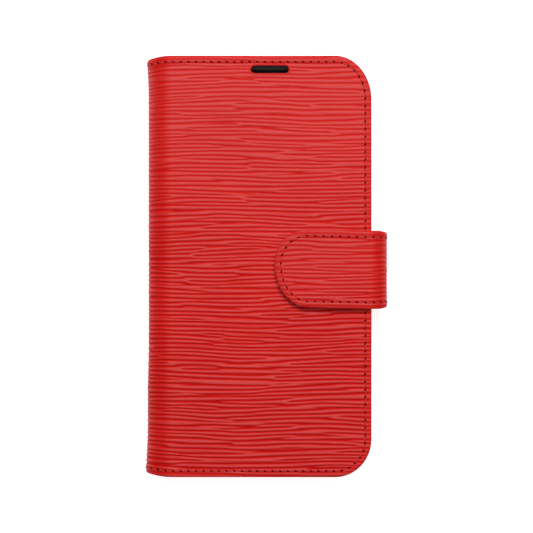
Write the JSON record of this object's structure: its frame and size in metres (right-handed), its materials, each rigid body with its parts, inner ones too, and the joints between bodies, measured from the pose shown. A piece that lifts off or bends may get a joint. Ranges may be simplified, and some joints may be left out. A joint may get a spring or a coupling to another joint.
{
  "type": "phone wallet case",
  "caption": "Book-style leather phone wallet case with a moulded cradle, card pockets and a magnetic closure strap.",
  "frame": {"origin": "centre of the bounding box on the surface that the closed case lies on", "axes": "+X from the spine to the closure strap, +Y up the case towards the earpiece slot, +Z from the back panel to the front cover"},
  "size_m": [0.0872, 0.1546, 0.0201],
  "materials": {
    "wave_leather": "red embossed leather with a fine horizontal wave grain, satin",
    "pocket_leather": "smooth red leather, satin",
    "lining": "red microfibre lining, matte",
    "thread": "red polyester sewing thread",
    "shell": "black moulded thermoplastic polyurethane, fine matte texture",
    "board": "grey-brown fibre board",
    "padding": "thin white foam interliner",
    "steel": "thin steel plate, plain",
    "magnet": "nickel-plated disc magnet"
  },
  "bodies": {
    "back": {"back_leather": "wave_leather", "back_board": "board", "back_lining": "lining", "back_thread": "thread", "phone_shell": "shell", "strap_root": "wave_leather"},
    "spine": {"spine_leather": "wave_leather", "spine_padding": "padding", "spine_lining": "lining", "spine_thread": "thread"},
    "cover": {"cover_leather": "wave_leather", "cover_board": "board", "cover_lining": "lining", "cover_thread": "thread", "cash_pocket": "pocket_leather", "card_pocket_1": "pocket_leather", "card_pocket_2": "pocket_leather", "card_pocket_3": "pocket_leather", "pocket_thread": "thread", "closure_plate": "steel"},
    "strap_side": {"strap_side_leather": "wave_leather", "strap_side_lining": "lining", "strap_side_thread": "thread"},
    "strap_tip": {"strap_tip_leather": "wave_leather", "strap_tip_lining": "lining", "strap_tip_core": "board", "strap_magnets": "magnet", "strap_tip_thread": "thread"}
  },
  "joints": [
    {"name": "spine_fold", "type": "hinge", "parent": "back", "child": "spine", "pos_m": [-0.04126, 0, 0.00234], "axis": [0, -1, 0], "range_deg": [0, 90]},
    {"name": "cover_fold", "type": "hinge", "parent": "spine", "child": "cover", "pos_m": [-0.04126, 0, 0.01506], "axis": [0, -1, 0], "range_deg": [0, 90]},
    {"name": "strap_root_fold", "type": "hinge", "parent": "back", "child": "strap_side", "pos_m": [0.04184, 0, 0.00216], "axis": [0, 1, 0], "range_deg": [0, 90]},
    {"name": "strap_tip_fold", "type": "hinge", "parent": "strap_side", "child": "strap_tip", "pos_m": [0.04184, 0, 0.01834], "axis": [0, 1, 0], "range_deg": [0, 90]}
  ],
  "couplings": [
    {"joint": "cover_fold", "follows": "spine_fold", "ratio": 1}
  ]
}
